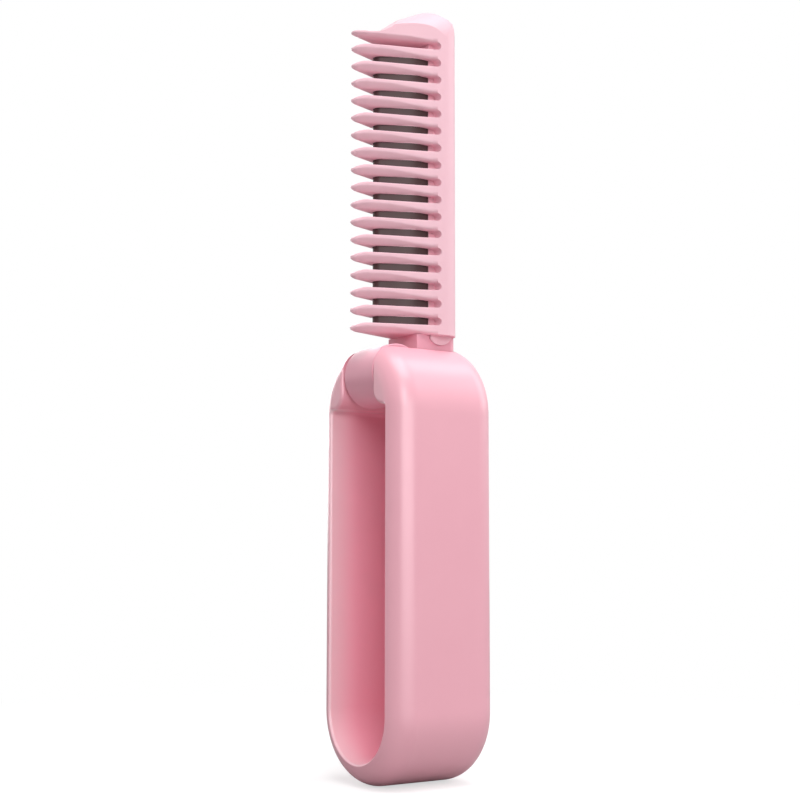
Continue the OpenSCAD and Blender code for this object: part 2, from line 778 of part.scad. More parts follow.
module spine_cover() {
    hw = carrier_hw - 0.3;
    color("lightpink") union() {
        intersection() {
            comb_form();
            spine_slot(0);
        }
        for (x = [-hw, hw - 1]) translate([x, spine_in_y - 1.6, carrier_z0 + 1])
            cube([1, 1.6 + e, plate_z1 - carrier_z0 - 2]);
    }
}

module heating_plate() {
    color("dimgray") difference() {
        plate_form(0);
        translate([-heater_t / 2 - 0.15, heater_y0 - 0.3, plate_z0 - 1])
            cube([heater_t + 0.3, 30, plate_z1 - plate_z0 + 2]);
    }
}

module ceramic_heater() {
    color("white") translate([-heater_t / 2, heater_y0, plate_z0 + 4])
        cube([heater_t, heater_d, plate_z1 - plate_z0 - 8]);
}

module plate_carrier() {
    z0 = carrier_z0 + 0.2;
    h = plate_z1 - z0 - 0.2;
    color("tan") difference() {
        translate([-carrier_hw + 0.15, plate_y1 + 0.05, z0])
            cube([2 * carrier_hw - 0.3, carrier_d - 0.1, h]);
        translate([-1.7, plate_y1, z0 - 1]) cube([3.4, 2, h + 2]);
        translate([-1.7, plate_y1, z0 + 4]) cube([3.4, carrier_d + 1, 8]);
        for (z = [z0 + 30, z0 + 58]) translate([-carrier_hw + 1.8, plate_y1 + carrier_d - 1.6, z])
            cube([2 * carrier_hw - 3.6, 4, 16]);
        along_y(1, plate_y1 - 1, plate_y1 + carrier_d + 1, sensor_x, z0 + 20);
    }
}

module insulating_sheet() {
    color("khaki") difference() {
        translate([-carrier_hw + 0.2, carrier_y1, carrier_z0 + 0.3])
            cube([2 * carrier_hw - 0.4, sheet_t, plate_z1 - carrier_z0 - 0.6]);
        translate([-1.7, carrier_y1 - 1, carrier_z0 + 4]) cube([3.4, 3, 8.4]);
        along_y(1, carrier_y1 - 1, carrier_y1 + 3, sensor_x, carrier_z0 + 20.2);
    }
}

module temperature_sensor() {
    z = carrier_z0 + 20.2;
    color("black") {
        along_y(0.8, plate_y1 + 0.1, carrier_y1 + sheet_t + 0.8, sensor_x, z);
    }
}

module thermal_fuse() {
    y = carrier_y1 + sheet_t + 1.45;
    color("silver") translate([0, y, carrier_z0 + 30]) {
        cylinder(r = 1.4, h = 9);
        translate([0, 0, -4]) cylinder(r = 0.45, h = 17);
    }
}

// Two leads from the heater back through the carrier and down the arm
module heater_leads() {
    y0 = plate_y1 - 0.9;
    y1 = tongue_y1 - 1.4;
    z0 = carrier_z0 + 8;
    z1 = comb_z - 4;
    color("firebrick") for (x = [-0.75, 0.75]) {
        along_y(0.6, y0, y1, x, z0);
        translate([x, y1, z0]) sphere(r = 0.6);
        translate([x, y1, z1]) cylinder(r = 0.6, h = z0 - z1);
    }
}

handle_shell();
back_cover();
cover_screws();
battery_cell();
battery_pads();
protection_board();
battery_leads();
control_board();
board_screws();
tact_switch();
indicator_leds();
light_pipes();
charging_board();
charging_socket();
power_button();
hinge_pin();
hinge_pin_plug();
hinge_washers();
feed_leads();
hinge_arm();
arm_screws();
comb_shell();
spine_cover();
heating_plate();
ceramic_heater();
plate_carrier();
insulating_sheet();
temperature_sensor();
thermal_fuse();
heater_leads();
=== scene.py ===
"""Looks of the folding hair straightening comb: its fins, finishes, camera, lamps and floor around
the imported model.

Sizes of the comb, its fins and the changed copies are in millimetres and are brought to metres by
MM. Other lengths are in metres, except where a docstring says otherwise. The frame is the model's
own: +Z up the handle, -Y the way the tooth tips point.
"""
import math

import bmesh
import bpy
import numpy as np
from mathutils import Matrix, Vector


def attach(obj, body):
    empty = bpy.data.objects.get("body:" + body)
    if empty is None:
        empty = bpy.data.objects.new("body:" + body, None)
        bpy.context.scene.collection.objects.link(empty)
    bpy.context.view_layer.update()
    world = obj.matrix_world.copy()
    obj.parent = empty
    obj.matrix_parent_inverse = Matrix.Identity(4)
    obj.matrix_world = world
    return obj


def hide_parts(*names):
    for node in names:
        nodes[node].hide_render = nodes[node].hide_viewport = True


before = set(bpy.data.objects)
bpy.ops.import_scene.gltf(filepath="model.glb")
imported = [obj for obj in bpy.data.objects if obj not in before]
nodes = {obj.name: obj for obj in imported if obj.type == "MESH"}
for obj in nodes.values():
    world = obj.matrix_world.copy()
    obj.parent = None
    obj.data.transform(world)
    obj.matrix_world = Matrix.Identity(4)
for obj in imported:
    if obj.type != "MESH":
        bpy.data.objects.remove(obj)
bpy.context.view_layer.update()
MM = 0.001


# Comb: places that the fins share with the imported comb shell

FINS = 18
TIP_Y = -22.2  # tooth tips, the front of the model
TIP_R = 2.2  # round of a tip, seen from above
HALF_COMB = 12.0
WIDE_Y = TIP_Y + 31.7  # where the comb is widest and its sides begin to draw in
ROOT_Y = 4.45  # plane where the fins leave the comb's body
COMB_Z = 151.3  # lower end of the comb
FIN_PITCH = 6.08
GAP_H = 2.7  # height of a gap at its back end
GAP_END_Y = WIDE_Y - 3.6
GAP0_Z = COMB_Z + 4.5  # middle of the lowest gap
TOP_GAP_Z = GAP0_Z + (FINS - 2) * FIN_PITCH  # middle of the highest gap
CAP_FLAT_Z = TOP_GAP_Z + GAP_H / 2 + 1.9  # flat top of the highest fin, in front of the cap
CAP_FOOT_Y = -15.6  # where the cap rises from that flat

# Seat of the heating plate, which the fins reach round

SEAT_HALF = 7.7
SEAT_WIDE_Y = 0.5
SEAT_NOSE_Y = -13.1
SEAT_NOSE_R = 2.5
SEAT_Z0 = COMB_Z + 1.7
SEAT_Z1 = TOP_GAP_Z - GAP_H / 2 - 1.1

# Shape of a fin: its underside, its nose, its round top edges and the facets along its lower edges

UNDER_RISE = 0.1  # how much higher the underside is at the tip than at the gap's end
NOSE_LEN = 4.6
NOSE_DROP = 1.8
CAP_NOSE_DROP = 0.35  # the same for the highest fin
CAP_STEP = 0.03  # how far the flat rises behind the cap's foot, to end inside the cap
CAP_STEP_LEN = 0.6
TURN_LEN = 3.0  # length from the root plane over which insets turn to the outline's normal
EDGE_ROOT_R = 0.02
EDGE_R = 0.25
EDGE_GROWS = 2.0  # length over which the round edge grows to its full radius
EDGE_SHARE = 0.25  # most of the fin's height that the round edge takes
FACET_ROOT_UP = 0.7  # how far up the side a facet reaches at the root
FACET_UP = 2.4  # and from FACET_UP_Y to the tip
FACET_UP_Y = -14.0
FACET_ROOT_IN = 0.8  # how far in under the fin it reaches at the root
FACET_IN = 2.0  # and from FACET_IN_Y to the tip
FACET_IN_Y = -2.0
FACET_SHARE = 0.72  # most of the height left below the edge that the facet takes
FACET_POWER = 1.5

# How finely the fins are divided: places are shares of one side's length, closer round the nose

SIDE_PLACES = np.linspace(0, 0.89, 20)
NOSE_PLACES = np.linspace(0.905, 1, 12)
LEVEL_POINTS = 8
FACET_POINTS = 9
EDGE_ANGLES = np.radians([90, 60, 30, 0])
THIRDS = np.array([1, 2]) / 3
LINE_SAMPLES = 50
ARC_SAMPLES = 600
CREASE = math.radians(32)

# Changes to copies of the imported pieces

MERGE = 0.0002
CUT_SLACK = 0.00001
CAP_CUT = 0.01  # how far above its flat the cap is cut off from the fins
BUTTON_SPARE = 0.02


def grow(first, last, y, start, end):
    """From first at y = start to last at y = end, with a smooth cubic between them."""
    t = np.clip((y - start) / (end - start), 0, 1)
    return first + (last - first) * t * t * (3 - 2 * t)


def drop_path(half, wide_y, nose_y, nose_r, places):
    """Points and outward normals of a drop outline, from the root round the nose to the other root.

    One side is a line forward at x = half, an arc of radius half that ends on the nose arc of radius
    nose_r, and that arc to the middle line. It is sampled at places, shares of its length from the
    root plane, then mirrored for the other side.
    """
    middle_y = nose_y + nose_r
    tilt = math.asin((half - nose_r) / (wide_y - middle_y))
    line = np.linspace(max(ROOT_Y, wide_y), wide_y, LINE_SAMPLES)
    side = np.linspace(0, tilt, ARC_SAMPLES)
    nose = np.linspace(tilt, math.pi / 2, ARC_SAMPLES)
    x = np.concatenate([np.full(LINE_SAMPLES, half), half * np.cos(side), nose_r * np.cos(nose)])
    y = np.concatenate([line, wide_y - half * np.sin(side), middle_y - nose_r * np.sin(nose)])
    turn = np.concatenate([np.zeros(LINE_SAMPLES), side, nose])
    run = np.concatenate([[0], np.cumsum(np.hypot(np.diff(x), np.diff(y)))])
    start = np.interp(-ROOT_Y, -y, run)
    at = start + (run[-1] - start) * places
    x, y, turn = (np.interp(at, run, value) for value in (x, y, turn))
    right = np.stack([x, y, np.cos(turn), -np.sin(turn)], axis=1)
    left = right[-2::-1] * [-1, 1, -1, 1]
    return np.concatenate([right, left])


def fin_levels(y):
    """Heights of every fin's underside and top at the places y.

    The underside rises evenly from the gap's end to the tip. The top is level and falls over the
    nose, half as a quarter ellipse and half as a power curve. The lowest fin's underside is cut
    level with the comb's lower end, and the highest fin's top is the flat at the cap's foot.
    """
    below = (GAP0_Z + (np.arange(FINS) - 1) * FIN_PITCH).reshape((-1,) + (1,) * max(y.ndim - 1, 1))
    under = below + GAP_H / 2 + UNDER_RISE * (GAP_END_Y - y) / (GAP_END_Y - TIP_Y)
    under[0] = np.maximum(under[0], COMB_Z)
    t = np.clip((TIP_Y + NOSE_LEN - y) / NOSE_LEN, 0, 1)
    fall = NOSE_DROP * (0.5 * (1 - np.sqrt(1 - t * t)) + 0.5 * t ** 1.5)
    over = below + FIN_PITCH - GAP_H / 2 - fall
    step = grow(0, CAP_STEP, y, CAP_FOOT_Y, CAP_FOOT_Y + CAP_STEP_LEN)
    cap = CAP_FLAT_Z - CAP_NOSE_DROP * t ** 2 + step
    over[-1] = np.broadcast_to(cap, over.shape)[-1]
    return under, over


def fin_grid():
    """Points of all fins: a closed section carried along the drop outline, round the nose.

    The section starts at the plate's seat on the top, crosses to a small round edge, goes down the
    side, then in along a slanting facet that grows towards the tip, and back under the fin to the
    seat. It ends on the middle line instead where the seat stops inside a fin: at the top of the
    two highest fins, and under the lowest and the highest.
    """
    places = np.concatenate([SIDE_PLACES, NOSE_PLACES])
    outer = drop_path(HALF_COMB, WIDE_Y, TIP_Y, TIP_R, places)
    inner = drop_path(SEAT_HALF, SEAT_WIDE_Y, SEAT_NOSE_Y, SEAT_NOSE_R, 1 - (1 - places) ** 2)
    plan, out = outer[:, :2], outer[:, 2:]
    y = plan[:, 1]
    out[:, 1] *= grow(0, 1, y, ROOT_Y, ROOT_Y - TURN_LEN)
    under, over = fin_levels(y)
    height = over - under
    every_fin = np.ones((FINS, 1))
    edge = grow(EDGE_ROOT_R, EDGE_R, y, ROOT_Y, ROOT_Y - EDGE_GROWS) * every_fin
    edge[-1] = grow(EDGE_ROOT_R, EDGE_R, y, CAP_FOOT_Y + CAP_STEP_LEN, CAP_FOOT_Y - 1)
    edge = np.minimum(edge, EDGE_SHARE * height)
    facet_up = grow(FACET_ROOT_UP, FACET_UP, y, ROOT_Y, FACET_UP_Y)
    facet_up = np.minimum(facet_up, FACET_SHARE * (height - edge))
    facet_in = grow(FACET_ROOT_IN, FACET_IN, y, ROOT_Y, FACET_IN_Y) * every_fin
    low, high = under + facet_up, over - edge
    edge, facet_up, facet_in = edge[..., None], facet_up[..., None], facet_in[..., None]

    open_seat = np.ones((2, FINS, 1, 2))
    open_seat[0, [0, -1], :, 0] = 0
    open_seat[1, -2:, :, 0] = 0
    seat_low, seat_top = inner[:, :2] * open_seat

    def inset(depth):
        """Plan points at a depth inside the outline, one for each fin, station and step."""
        return plan[None, :, None, :] - out[None, :, None, :] * depth[..., None]

    def level(points, which):
        """Heights of each fin's underside (0) or top (1) at its plan points."""
        return fin_levels(points[..., 1])[which]

    def crossing(depth, seat, which):
        """Level stretch from a depth inside the outline to the seat, in even steps."""
        start = inset(depth)
        share = np.linspace(0, 1, LEVEL_POINTS)[:, None]
        points = start + (seat[:, :, None, :] - start) * share
        return np.concatenate([points, level(points, which)[..., None]], axis=-1)

    def rounding(depth, rise, power, angles, which):
        """Edge between the side and a level face: its depth goes with one less a power of the
        cosine and its rise with one less a power of the sine. A power of 1 is a quarter round,
        and 2 would be a straight slant."""
        points = inset(depth * (1 - np.cos(angles) ** power))
        lift = rise * (1 - np.sin(angles) ** power) * (1 - 2 * which)
        return np.concatenate([points, (level(points, which) + lift)[..., None]], axis=-1)

    side = np.broadcast_to(plan[None, :, None, :], (FINS, len(plan), 2, 2))
    side_z = high[..., None] + (low - high)[..., None] * THIRDS
    seat_under, seat_over = fin_levels(inner[:, 1])
    wall = np.stack([seat_low, seat_top], axis=2)
    wall_z = seat_under[..., None] + (seat_over - seat_under)[..., None] * THIRDS
    wall_z[0], wall_z[-2] = SEAT_Z0, SEAT_Z1
    return np.concatenate([
        crossing(edge, seat_top, 1)[:, :, :0:-1],
        rounding(edge, edge, 1, EDGE_ANGLES, 1),
        np.concatenate([side, side_z[..., None]], axis=-1),
        rounding(facet_in, facet_up, FACET_POWER, np.radians(np.linspace(0, 90, FACET_POINTS)), 0),
        crossing(facet_in, seat_low, 0)[:, :, 1:],
        np.concatenate([wall, wall_z[..., None]], axis=-1)], axis=2)


def edit(mesh, work):
    """Opens a mesh as an editable shape, does the work on it and writes it back."""
    shape = bmesh.new()
    shape.from_mesh(mesh)
    work(shape)
    shape.to_mesh(mesh)
    shape.free()


def show(name, mesh, body):
    """The object that shows a finished mesh and moves with a body."""
    piece = bpy.data.objects.new(name, mesh)
    bpy.context.scene.collection.objects.link(piece)
    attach(piece, body)
    return piece


def comb_fins():
    """All fins as one mesh: each section's points are joined into a closed skin, its two roots shut."""
    points = fin_grid()
    fins, stations, around, _ = points.shape
    index = np.arange(fins * stations * around).reshape(fins, stations, around)
    here, ahead = index[:, :-1], index[:, 1:]
    quads = np.stack([here, np.roll(here, -1, 2), np.roll(ahead, -1, 2), ahead], axis=-1)
    roots = np.concatenate([index[:, 0, ::-1], index[:, -1]])
    mesh = bpy.data.meshes.new("comb_fins")
    mesh.from_pydata((points.reshape(-1, 3) * MM).tolist(), [],
                     quads.reshape(-1, 4).tolist() + roots.tolist())
    mesh.validate()
    edit(mesh, lambda shape: bmesh.ops.recalc_face_normals(shape, faces=shape.faces))
    mesh.shade_smooth()
    mesh.set_sharp_from_angle(angle=CREASE)
    return show("comb_fins", mesh, "comb")


def reworked_copy(source, name, body, cut=None, press=None):
    """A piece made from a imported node's mesh: a merged copy, whose shape is cut or points pressed.

    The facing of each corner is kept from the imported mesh, so that the rounds shade as they did.
    """
    def merge_and_cut(shape):
        bmesh.ops.remove_doubles(shape, verts=shape.verts, dist=MERGE * MM)
        if cut:
            cut(shape)

    mesh = nodes[source].data.copy()
    mesh.name = name
    facing = np.empty(len(mesh.loops) * 3, np.float32)
    mesh.corner_normals.foreach_get("vector", facing)
    mesh.attributes.new("facing", "FLOAT_VECTOR", "CORNER").data.foreach_set("vector", facing)
    edit(mesh, merge_and_cut)
    if press:
        press(mesh)
    kept = np.empty(len(mesh.loops) * 3, np.float32)
    mesh.attributes["facing"].data.foreach_get("vector", kept)
    mesh.attributes.remove(mesh.attributes["facing"])
    mesh.shade_smooth()
    mesh.normals_split_custom_set(kept.reshape(-1, 3).tolist())
    piece = show(name, mesh, body)
    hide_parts(source)
    return piece


def without_fins(shape):
    """Cuts the comb shell off at the root plane, except for the cap, and shuts the cuts."""
    root, top = ROOT_Y * MM, (CAP_FLAT_Z + CAP_CUT) * MM
    for place, normal in (((0, root, 0), (0, 1, 0)), ((0, 0, top), (0, 0, 1))):
        bmesh.ops.bisect_plane(shape, geom=shape.verts[:] + shape.edges[:] + shape.faces[:],
                               dist=CUT_SLACK * MM, plane_co=place, plane_no=normal)
    middles = [(face, face.calc_center_median()) for face in shape.faces]
    front = [face for face, at in middles if at.y < root and at.z < top]
    bmesh.ops.delete(shape, geom=front, context="FACES")
    bmesh.ops.holes_fill(shape, edges=[e for e in shape.edges if e.is_boundary], sides=0)
    bmesh.ops.triangulate(shape, faces=[f for f in shape.faces if len(f.verts) > 4])


def with_thin_rim(mesh):
    """Takes BUTTON_SPARE off the back of the button's rim, so that at the end of its travel it
    stops just short of the switch's key instead of touching it."""
    points = np.empty(len(mesh.vertices) * 3, np.float32)
    mesh.vertices.foreach_get("co", points)
    y = points[1::3]
    np.maximum(y, y.min() + BUTTON_SPARE * MM, out=y)
    mesh.vertices.foreach_set("co", points)
    mesh.update()


fins = comb_fins()
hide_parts("comb_shell")
back = reworked_copy("comb_shell", "comb_body", "comb", cut=without_fins)
cap = reworked_copy("power_button", "button_cap", "button", press=with_thin_rim)


# Finishes: node trees, shared effects, then one material for each finish

WHITE = (1.0, 1.0, 1.0, 1.0)
MIX_COLOURS = (6, 7)  # inputs of a Mix node that take its two colours
MIX_RESULT = 2  # and the output that gives the mixed colour
NOISE_RANGE = (0.3, 0.7)  # most of what soft noise gives


def linear(hex_colour):
    """An sRGB colour written as six hex digits, as the linear RGBA that shaders take."""
    parts = [int(hex_colour[i:i + 2], 16) / 255 for i in (0, 2, 4)]
    return tuple(p / 12.92 if p <= 0.04045 else ((p + 0.055) / 1.055) ** 2.4 for p in parts) + (1.0,)


class Nodes:
    """A node tree, with short ways to add nodes and to join them."""

    def __init__(self, tree):
        self.tree = tree
        tree.nodes.clear()

    def feed(self, node, socket, value):
        """Gives an input, by name or number, a plain value or another node's output."""
        if isinstance(value, bpy.types.NodeSocket):
            self.tree.links.new(value, node.inputs[socket])
        else:
            node.inputs[socket].default_value = value

    def add(self, kind, *inputs, **named):
        """A node of a kind, with its properties and inputs by name or its first inputs in order."""
        node = self.tree.nodes.new("ShaderNode" + kind)
        for key, value in named.items():
            if hasattr(node, key):
                setattr(node, key, value)
            else:
                self.feed(node, key.replace("_", " "), value)
        for socket, value in enumerate(inputs):
            self.feed(node, socket, value)
        return node

    def place(self):
        """Where a point lies, in metres along the frame's axes."""
        return self.add("TexCoord").outputs["Object"]

    def maths(self, operation, *inputs):
        """Result of one step of arithmetic."""
        return self.add("Math", *inputs, operation=operation).outputs["Value"]

    def mixed(self, share, first, second):
        """Shader that goes from first to second with a share."""
        return self.add("MixShader", share, first, second).outputs["Shader"]


class Finish(Nodes):
    """One material with a single Principled shader, whose plain values are given by name."""

    def __init__(self, name, **plain):
        self.material = bpy.data.materials.new(name)
        self.material.use_nodes = True
        super().__init__(self.material.node_tree)
        self.shader = self.add("BsdfPrincipled", **plain)
        self.add("OutputMaterial", Surface=self.shader.outputs["BSDF"])

    def effect(self, group, **values):
        """Outputs of a shared effect, placed in this material with its own values."""
        return self.add("Group", node_tree=group, **values).outputs

    def blend(self, mask, first, second):
        """Base colour that goes from first to second with a mask. Each is a hex colour or an
        earlier blend, and the new blend is returned."""
        mix = self.add("Mix", mask, data_type="RGBA")
        for socket, colour in zip(MIX_COLOURS, (first, second)):
            self.feed(mix, socket, linear(colour) if isinstance(colour, str) else colour)
        self.feed(self.shader, "Base Color", mix.outputs[MIX_RESULT])
        return mix.outputs[MIX_RESULT]

    def base(self):
        """The blend that feeds the base colour so far."""
        return self.shader.inputs["Base Color"].links[0].from_socket

    def gloss(self, roughness):
        """Roughness from an effect's output."""
        self.feed(self.shader, "Roughness", roughness)

    def relief(self, height, strength, depth):
        """Bump from a height output, depth in millimetres at full strength."""
        bump = self.add("Bump", Strength=strength, Distance=depth * MM, Height=height)
        self.feed(self.shader, "Normal", bump.outputs["Normal"])


class Effect(Nodes):
    """A node group that finishes share, with named outputs and named inputs at their usual values."""

    def __init__(self, name, outputs, **usual):
        group = bpy.data.node_groups.new(name, "ShaderNodeTree")
        super().__init__(group)
        for label, value in usual.items():
            kind = "NodeSocketVector" if isinstance(value, tuple) else "NodeSocketFloat"
            socket = group.interface.new_socket(label.replace("_", " "), in_out="INPUT",
                                                socket_type=kind)
            socket.default_value = value
        for label in outputs:
            group.interface.new_socket(label, in_out="OUTPUT", socket_type="NodeSocketFloat")
        self.into = group.nodes.new("NodeGroupInput").outputs
        self.out = group.nodes.new("NodeGroupOutput")

    def noise(self, place, scale, detail):
        """Soft noise over a place, between 0 and 1."""
        return self.add("TexNoise", Vector=place, Scale=scale, Detail=detail).outputs["Fac"]

    def gloss(self, noise):
        """Noise brought to the range between the inputs Gloss Low and Gloss High."""
        low, high = NOISE_RANGE
        return self.add("MapRange", noise, low, high, self.into["Gloss Low"],
                        self.into["Gloss High"]).outputs["Result"]

    def give(self, **values):
        """Joins values to the outputs of their names and returns the finished group."""
        for label, value in values.items():
            self.feed(self.out, label, value)
        return self.tree


def moulded_grain():
    """Effect: moulded surface. Height is a fine spark-eroded grain, Tone a slow unevenness of the
    colour over centimetres, and Gloss goes between Gloss Low and Gloss High in soft patches."""
    effect = Effect("moulded grain", ("Height", "Tone", "Gloss"),
                    Grain_Scale=1400.0, Drift_Scale=28.0, Gloss_Low=0.4, Gloss_High=0.5)
    place = effect.place()
    grain = effect.noise(place, scale=effect.into["Grain Scale"], detail=3.0)
    drift = effect.noise(place, scale=effect.into["Drift Scale"], detail=2.0)
    patches = effect.noise(place, scale=160.0, detail=4.0)
    return effect.give(Height=grain, Tone=drift, Gloss=effect.gloss(patches))


def drawn_lines():
    """Effect: fine lines left by drawing, turning or brushing. Noise is stretched by Line Scale,
    a number of lines per metre along each axis; Height is the lines and Gloss follows them."""
    effect = Effect("drawn lines", ("Height", "Gloss"),
                    Line_Scale=(3000.0, 3000.0, 60.0), Gloss_Low=0.2, Gloss_High=0.35)
    stretched = effect.add("VectorMath", effect.place(), effect.into["Line Scale"],
                           operation="MULTIPLY").outputs["Vector"]
    lines = effect.noise(stretched, scale=1.0, detail=3.0)
    return effect.give(Height=lines, Gloss=effect.gloss(lines))


def fine_specks():
    """Effect: small specks or pores. Mask falls from one at the middle of each cell of a Voronoi
    pattern to zero at the distance Size from it, and Height is that distance."""
    effect = Effect("fine specks", ("Mask", "Height"), Speck_Scale=1500.0, Size=0.3)
    away = effect.add("TexVoronoi", Vector=effect.place(),
                      Scale=effect.into["Speck Scale"]).outputs["Distance"]
    mask = effect.add("MapRange", Value=away, From_Max=effect.into["Size"], To_Min=1.0, To_Max=0.0)
    return effect.give(Mask=mask.outputs["Result"], Height=away)


def groove_place():
    """Effect: where a point lies in the handle's groove, which places the painted light there. Inside
    is one within the groove's pill outline below Top, and Depth goes from 0 at the open front to 1 at
    Full Depth, both along Y."""
    effect = Effect("groove place", ("Inside", "Depth"),
                    Radius=0.017, Low_Middle=0.024, High_Middle=0.124,
                    Top=0.1262, Front=-0.0198, Full_Depth=-0.007)
    into = effect.into
    place = effect.add("SeparateXYZ", effect.place()).outputs
    middle = effect.add("Clamp", place["Z"], into["Low Middle"], into["High Middle"]).outputs["Result"]
    across = effect.add("CombineXYZ", X=place["X"], Z=effect.maths("SUBTRACT", place["Z"], middle))
    away = effect.add("VectorMath", across.outputs["Vector"], operation="LENGTH").outputs["Value"]
    within = effect.maths("LESS_THAN", away, into["Radius"])
    below = effect.maths("LESS_THAN", place["Z"], into["Top"])
    depth = effect.add("MapRange", place["Y"], into["Front"], into["Full Depth"],
                       interpolation_type="SMOOTHSTEP")
    return effect.give(Inside=effect.maths("MULTIPLY", within, below), Depth=depth.outputs["Result"])


GRAIN = moulded_grain()
GROOVE = groove_place()
LINES = drawn_lines()
SPECKS = fine_specks()


def moulded(name, colour, darker, gloss=(0.40, 0.50), grain=1400.0, strength=0.12, **plain):
    """Moulded plastic or rubber: fine grain, uneven gloss, and a slow drift to a darker tone."""
    finish = Finish(name, **plain)
    surface = finish.effect(GRAIN, Grain_Scale=grain, Gloss_Low=gloss[0], Gloss_High=gloss[1])
    finish.blend(surface["Tone"], colour, darker)
    finish.gloss(surface["Gloss"])
    finish.relief(surface["Height"], strength=strength, depth=0.03)
    return finish


def metal(name, colour, darker, lines, gloss=(0.2, 0.35)):
    """Bare metal: fine lines in one direction, a tone that changes with them."""
    finish = Finish(name, Metallic=1.0)
    surface = finish.effect(LINES, Line_Scale=lines, Gloss_Low=gloss[0], Gloss_High=gloss[1])
    finish.blend(surface["Height"], colour, darker)
    finish.gloss(surface["Gloss"])
    finish.relief(surface["Height"], strength=0.15, depth=0.02)
    return finish


def specked(finish, scale, size, colour):
    """A finish with specks of another colour over its own."""
    specks = finish.effect(SPECKS, Speck_Scale=scale, Size=size)
    finish.blend(specks["Mask"], finish.base(), colour)
    return finish


def with_painted_groove_light(finish, front, bottom):
    """The handle's finish with painted light in its groove: a painted pale highlight at the open front
    that goes to a painted deep rose of bounced light at the bottom.
    """
    outside = finish.base()
    groove = finish.effect(GROOVE)
    # Painted light: a pale painted highlight at the groove's front going to a painted rose of bounced
    # light deep inside.
    inside = finish.blend(groove["Depth"], front, bottom)
    finish.blend(groove["Inside"], outside, inside)
    return finish


def board_mask():
    """Green solder mask over copper: lighter along tracks, which are the joints of a brick pattern
    stood upright, with grey pads as specks."""
    finish = Finish("solder mask", Coat_Weight=0.6, Coat_Roughness=0.15)
    upright = finish.add("Mapping", Vector=finish.place(), Rotation=(math.pi / 2, 0, 0))
    tracks = finish.add("TexBrick", Vector=upright.outputs["Vector"], Scale=420.0, Mortar_Size=0.06,
                        Mortar_Smooth=0.2, offset=0.5, squash=1.6).outputs["Fac"]
    finish.blend(tracks, "0E4A2A", "1F7A48")
    specked(finish, scale=330.0, size=0.16, colour="C9CBC4")
    finish.gloss(finish.effect(GRAIN, Gloss_Low=0.3, Gloss_High=0.42)["Gloss"])
    finish.relief(tracks, strength=0.3, depth=0.03)
    return finish


def cell_foil():
    """Laminated foil of the cell: silver, softly creased, with faint rolling lines."""
    finish = Finish("cell foil", Metallic=0.85)
    creases = finish.add("TexNoise", Vector=finish.place(), Scale=90.0, Detail=5.0, Roughness=0.6,
                         Distortion=0.8).outputs["Fac"]
    lines = finish.effect(LINES, Line_Scale=(40.0, 40.0, 2600.0), Gloss_Low=0.25, Gloss_High=0.42)
    finish.blend(creases, "BFC2C6", "9DA1A6")
    finish.gloss(lines["Gloss"])
    finish.relief(creases, strength=0.5, depth=0.4)
    return finish


def foam_cells():
    """Soft black foam with open cells of about half a millimetre, with painted shade in the middle of
    each cell over the foam's own black.
    """
    finish = Finish("cell foam", Roughness=0.95, Sheen_Weight=0.3)
    pores = finish.effect(SPECKS, Speck_Scale=1800.0, Size=0.5)
    # The darker colour at each pore's middle is painted shade in the hollow, over the foam's own black.
    finish.blend(pores["Mask"], "2E2D2E", "161516")
    finish.relief(pores["Height"], strength=0.8, depth=0.2)
    return finish


def pressed_mica():
    """Pressed mica sheet: overlapping flakes in tan and gold with a pearly sheen."""
    finish = Finish("pressed mica", Sheen_Weight=0.3)
    flakes = finish.add("TexVoronoi", Vector=finish.place(), Scale=700.0).outputs["Distance"]
    finish.blend(flakes, "C8B78F", "9C8A62")
    lines = finish.effect(LINES, Line_Scale=(500.0, 500.0, 500.0), Gloss_Low=0.25, Gloss_High=0.55)
    finish.gloss(lines["Gloss"])
    finish.relief(flakes, strength=0.4, depth=0.05)
    return finish


def frosted_acrylic():
    """Clear acrylic light pipe with a frosted face."""
    finish = Finish("frosted acrylic", Transmission_Weight=0.25, IOR=1.49)
    grain = finish.effect(GRAIN, Grain_Scale=3000.0, Gloss_Low=0.22, Gloss_High=0.34)
    finish.blend(grain["Tone"], "F4F3F2", "E6E8EA")
    finish.gloss(grain["Gloss"])
    finish.relief(grain["Height"], strength=0.25, depth=0.03)
    return finish


PINK = dict(colour="F7B6C4", darker="F2AEBD", gloss=(0.28, 0.35), Specular_IOR_Level=0.6)
SHELL = moulded("pink shell plastic", **PINK)
# The groove colours are painted light: FFD2DB is a painted pale highlight at its front, and FFB2C4 is a
# painted deeper rose of bounced light at its bottom.
HANDLE = with_painted_groove_light(moulded("pink handle plastic with painted groove light", **PINK), "FFD2DB", "FFB2C4")
COMB = moulded("pink comb plastic", "F8CAD5", "F3C2CE", gloss=(0.38, 0.46), Specular_IOR_Level=0.25)
HINGE = moulded("rose hinge plastic", "F6B0C1", "EFA6B8", gloss=(0.32, 0.40), Specular_IOR_Level=0.35)
COATED = specked(moulded("dark plate coating", "5A4747", "4D3C3C", gloss=(0.36, 0.46), grain=2600.0,
                         Specular_IOR_Level=0.15), scale=2600.0, size=0.2, colour="5E4E4D")
CERAMIC = specked(moulded("fired ceramic", "EDEAE2", "E2DED4", gloss=(0.5, 0.62), grain=2200.0,
                          strength=0.2), scale=1100.0, size=0.12, colour="B9B3A8")
CARRIER = moulded("tan heat-proof plastic", "B79A6C", "A6895C", gloss=(0.5, 0.65), strength=0.3)
SLEEVE = moulded("red lead sleeve", "A3201F", "861717", gloss=(0.45, 0.6), grain=1800.0,
                 Sheen_Weight=0.15)
BLACK = moulded("black switch plastic", "26262A", "1B1B1E", gloss=(0.35, 0.5), grain=1800.0)
NYLON = moulded("natural nylon", "E9E7DF", "DEDBD0", gloss=(0.35, 0.45), grain=1600.0)
